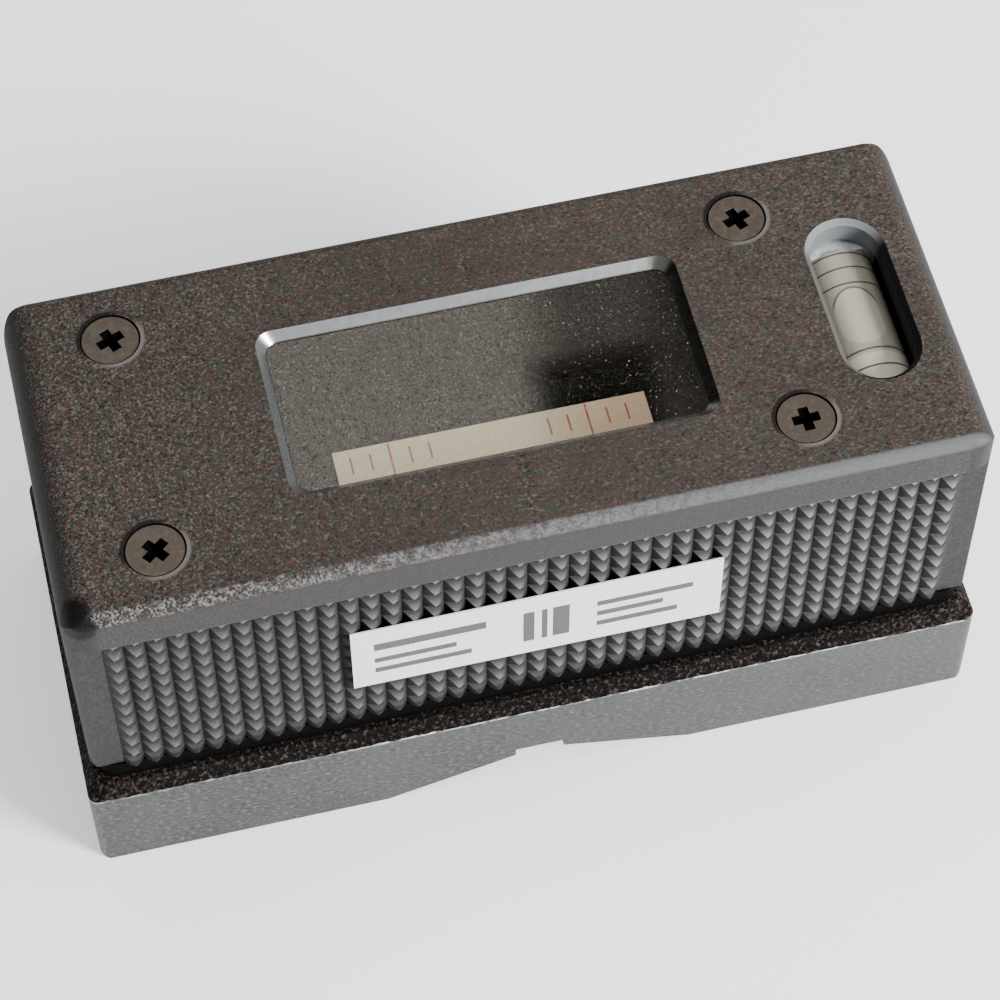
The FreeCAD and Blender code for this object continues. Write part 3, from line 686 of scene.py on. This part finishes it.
class LEVEL_OT_cross_vial(bpy.types.Operator):
    """Finish the cross vial and print its rings."""

    bl_idname = "level.cross_vial"
    bl_label = "Cross vial"

    def execute(self, context):
        sizes = context.scene.level_sizes
        colours = context.scene.level_colours
        dress("cross_vial_tube", cross_vial_finish(sizes, colours))
        dress("cross_vial_liquid", clear_finish("cross_liquid", (0.9, 0.9, 0.8), 0.05, 0.5 * MM))
        plug_cream = plain_finish("plug_cream", (0.40, 0.37, 0.30), (0.33, 0.31, 0.26), 0.3 * MM, 0.4)
        dress("cross_vial_plug", plug_cream)
        dark = plain_finish("ring_print", tuple(colours.ring_dark), (0.10, 0.09, 0.075), 0.15 * MM, 0.5)
        middle = centre("cross_vial_tube")
        radius = (CROSS_HIGH.z - CROSS_LOW.z) / 2 + 0.015 * MM
        bm = bmesh.new()
        for y in RING_PLACES:
            add_ring(bm, Vector((middle.x, y, middle.z)), radius, sizes.ring_width)
        add_piece("cross_vial_rings", mesh_from(bm, "cross_vial_rings"), dark)
        return {"FINISHED"}


def add_ring(bm, middle, radius, width, turns=48):
    """A thin printed band round a bar that lies along Y."""
    inner = radius - 0.03 * MM
    loops = []
    for r, shift in ((inner, -0.5), (radius, -0.5), (radius, 0.5), (inner, 0.5)):
        loop = []
        for n in range(turns):
            angle = 2 * math.pi * n / turns
            loop.append(bm.verts.new((middle.x + r * math.cos(angle), middle.y + shift * width,
                                      middle.z + r * math.sin(angle))))
        loops.append(loop)
    for first, second in zip(loops, loops[1:] + loops[:1]):
        for n in range(turns):
            m = (n + 1) % turns
            bm.faces.new((first[n], first[m], second[m], second[n]))


class LEVEL_OT_label(bpy.types.Operator):
    """Finish the label and print plain bars on it."""

    bl_idname = "level.label"
    bl_label = "Label"

    def execute(self, context):
        colours = context.scene.level_colours
        white = tuple(colours.label_white)
        dress("label", plain_finish("label_film", white, tuple(0.94 * c for c in white), 0.8 * MM, 0.4))
        ink = plain_finish("label_ink", tuple(colours.print_grey), (0.09, 0.09, 0.095), 0.2 * MM, 0.5)
        size = LABEL_HIGH - LABEL_LOW
        bm = bmesh.new()
        front = LABEL_LOW.y
        # Each bar's left edge, foot, width and height, as shares of the label
        bars = (
            (0.06, 0.62, 0.30, 0.12),
            (0.06, 0.40, 0.22, 0.08),
            (0.06, 0.22, 0.26, 0.08),
            (0.46, 0.22, 0.03, 0.52),
            (0.51, 0.22, 0.015, 0.52),
            (0.54, 0.22, 0.045, 0.52),
            (0.66, 0.60, 0.26, 0.08),
            (0.66, 0.42, 0.18, 0.08),
            (0.66, 0.24, 0.22, 0.08),
        )
        for left, low, wide, high in bars:
            x = LABEL_LOW.x + left * size.x
            z = LABEL_LOW.z + low * size.z
            add_block(bm, (x, front - INK_STEP, z),
                      (x + wide * size.x, front + 0.01 * MM, z + high * size.z))
        add_piece("label_bars", mesh_from(bm, "label_bars"), ink)
        return {"FINISHED"}


class LEVEL_OT_stage(bpy.types.Operator):
    """Add the floor, the lights and the camera."""

    bl_idname = "level.stage"
    bl_label = "Floor, lights and camera"

    def execute(self, context):
        add_floor(BASE_LOW.z)
        add_card("window_card", (0.0, 0.336, 0.54), (0.30, 0.11), (1.0, 0.93, 0.81), 1.55, fade=True)
        add_card("edge_card", (0.05, -0.34, 0.235), (0.30, 0.07), (0.97, 0.98, 1.0), 1.6)
        add_card("side_flag", (-0.44, 0.10, 0.16), (1.00, 0.44), (0.0, 0.0, 0.0), 0.0)
        add_light("key_light", (0.52, -0.46, 0.44), 0.24, 15.0, (1.0, 0.99, 0.97))
        add_light("top_light", (0.05, 0.10, 0.90), 0.70, 5.0, (1.0, 1.0, 1.0))
        light_world(context.scene)
        add_camera(context.scene)
        return {"FINISHED"}


def add_floor(height):
    """Pale floor, wide enough for every view."""
    f = Finish("pale_floor")
    place = f.place()
    cloud = f.noise(place, 80 * MM, 2.0)
    white = f.mix(cloud * 0.3, (0.95, 0.95, 0.95), (0.92, 0.92, 0.92))
    shader = f.principled({
        "Base Color": white,
        "Roughness": 0.7,
        "Emission Color": white,
        "Emission Strength": 0.5,
    })
    bm = bmesh.new()
    bmesh.ops.create_grid(bm, x_segments=1, y_segments=1, size=3.0)
    mesh = mesh_from(bm, "floor")
    floor = bpy.data.objects.new("floor", mesh)
    bpy.context.scene.collection.objects.link(floor)
    floor.location.z = height - 0.02 * MM
    mesh.materials.append(f.end(shader))


def add_card(name, place, size, tone, strength, fade=False):
    """A card that faces the level and is seen only as a reflection; fade dims its right half and blackens
    the lower corner there."""
    f = Finish(name)
    place_on_card = f.place()
    x = f.part(place_on_card, 0)
    y = f.part(place_on_card, 1)
    glow = f.node("ShaderNodeEmission", inputs={"Color": tone, "Strength": strength})
    dark = f.node("ShaderNodeEmission", inputs={"Color": (0.0, 0.0, 0.0), "Strength": 0.0})
    if fade:
        corner = f.step(x, -0.082, -0.094) * f.step(y, -0.003, 0.003) * f.step(x, -0.131, -0.119)
        far = f.step(x, -0.118, -0.136)
        reach = (0.40 + f.step(x, -0.104, -0.080) * 0.60) * (1 - corner) * (1 - far * 0.7)
    else:
        reach = 1.0
    shader = f.node("ShaderNodeMixShader", inputs={0: reach, 1: dark, 2: glow})
    bm = bmesh.new()
    bmesh.ops.create_grid(bm, x_segments=1, y_segments=1, size=0.5,
                          matrix=Matrix.Diagonal((*size, 1.0, 1.0)))
    mesh = mesh_from(bm, name)
    card = bpy.data.objects.new(name, mesh)
    bpy.context.scene.collection.objects.link(card)
    card.location = place
    aim = Vector((0.0, 0.0, TOP_Z)) - Vector(place)
    card.rotation_euler = aim.to_track_quat("-Z", "Y").to_euler()
    card.visible_camera = False
    card.visible_diffuse = False
    card.visible_shadow = False
    mesh.materials.append(f.end(shader))


def add_light(name, place, size, watts, tone):
    """A square soft light that faces the level."""
    lamp = bpy.data.lights.new(name, "AREA")
    lamp.shape = "SQUARE"
    lamp.size = size
    lamp.energy = watts
    lamp.color = tone
    holder = bpy.data.objects.new(name, lamp)
    bpy.context.scene.collection.objects.link(holder)
    holder.location = place
    aim = Vector((0.0, 0.0, 0.02)) - Vector(place)
    holder.rotation_euler = aim.to_track_quat("-Z", "Y").to_euler()


def light_world(scene):
    """Soft, even surroundings."""
    world = bpy.data.worlds.new("studio")
    scene.world = world
    world.use_nodes = True
    tree = world.node_tree
    tree.nodes.clear()
    glow = tree.nodes.new("ShaderNodeBackground")
    glow.inputs["Color"].default_value = (0.93, 0.96, 1.0, 1.0)
    glow.inputs["Strength"].default_value = 0.40
    out = tree.nodes.new("ShaderNodeOutputWorld")
    tree.links.new(glow.outputs[0], out.inputs["Surface"])


def add_camera(scene):
    """Camera at the photograph's viewing angle."""
    place = Vector((-43.68, -189.92, 327.73)) * MM
    target = Vector((0.48, -0.40, 24.0)) * MM
    lens = bpy.data.cameras.new("camera")
    lens.lens = 117.88
    lens.sensor_width = 36.0
    lens.clip_start = 0.01
    camera = bpy.data.objects.new("camera", lens)
    scene.collection.objects.link(camera)
    turn = (target - place).to_track_quat("-Z", "Y").to_matrix().to_4x4()
    roll = Matrix.Rotation(math.radians(-0.40), 4, "Z")
    camera.matrix_world = Matrix.Translation(place) @ turn @ roll
    scene.camera = camera


class LEVEL_PT_sidebar(bpy.types.Panel):
    """Lists the steps, sizes and colours of the level."""

    bl_label = "Crankpin level"
    bl_space_type = "VIEW_3D"
    bl_region_type = "UI"
    bl_category = "Level"

    def draw(self, context):
        for step in STEPS:
            self.layout.operator("level." + step)
        for group in (context.scene.level_sizes, context.scene.level_colours):
            for name in group.__annotations__:
                self.layout.prop(group, name)


STEPS = ("body", "cover", "screws", "window", "main_vial", "cross_vial", "label", "stage")
CLASSES = (
    LevelSizes, LevelColours, LEVEL_OT_body, LEVEL_OT_cover, LEVEL_OT_screws, LEVEL_OT_window,
    LEVEL_OT_main_vial, LEVEL_OT_cross_vial, LEVEL_OT_label, LEVEL_OT_stage, LEVEL_PT_sidebar,
)


def register():
    """Registers the classes and hangs the property groups on the scene."""
    for cls in CLASSES:
        bpy.utils.register_class(cls)
    bpy.types.Scene.level_sizes = PointerProperty(type=LevelSizes)
    bpy.types.Scene.level_colours = PointerProperty(type=LevelColours)


def unregister():
    """Removes what register added."""
    del bpy.types.Scene.level_colours
    del bpy.types.Scene.level_sizes
    for cls in reversed(CLASSES):
        bpy.utils.unregister_class(cls)


def main():
    """Dresses the level step by step."""
    register()
    for step in STEPS:
        getattr(bpy.ops.level, step)()
    bpy.context.view_layer.update()


if __name__ == "__main__":
    main()
